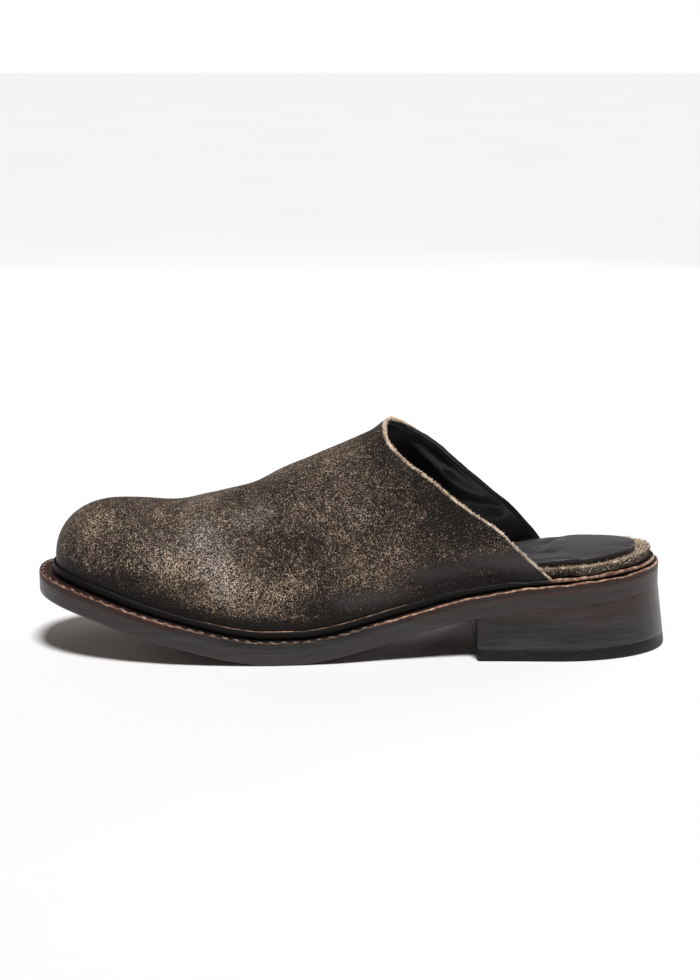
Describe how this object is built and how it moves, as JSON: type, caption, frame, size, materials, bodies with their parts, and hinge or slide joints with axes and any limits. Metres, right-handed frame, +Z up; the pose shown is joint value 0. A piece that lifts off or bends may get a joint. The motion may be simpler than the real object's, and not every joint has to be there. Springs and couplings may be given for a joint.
{
  "type": "leather mule shoe",
  "caption": "Backless men's leather mule with a one-piece vamp, a split storm welt, a stacked leather heel and a padded sock, left shoe",
  "frame": {"origin": "centre of the footprint, on the floor the empty shoe stands on", "axes": "+Z up, toe towards -X, heel towards +X, outer (little-toe) side towards -Y, inner side towards +Y"},
  "size_m": [0.3002, 0.101, 0.1078],
  "materials": {
    "upper": "matt, cracked and brushed dark brown leather with pale specks",
    "sock": "smooth black leather with a soft sheen",
    "insole": "raw, hairy tan flesh side",
    "welt": "dark brown leather, rubbed to copper and tan at its edges",
    "midsole": "charcoal edge paint with brushed streaks",
    "outsole": "charcoal edge paint with brushed streaks, plain leather underneath",
    "heel_stack": "charcoal edge paint with brushed streaks and reddish-brown patches",
    "top_lift": "dark satin rubber"
  },
  "bodies": {
    "root": {"upper": "upper", "sock": "sock", "insole": "insole", "welt": "welt", "midsole": "midsole", "outsole": "outsole", "heel_stack": "heel_stack", "top_lift": "top_lift"}
  },
  "joints": []
}
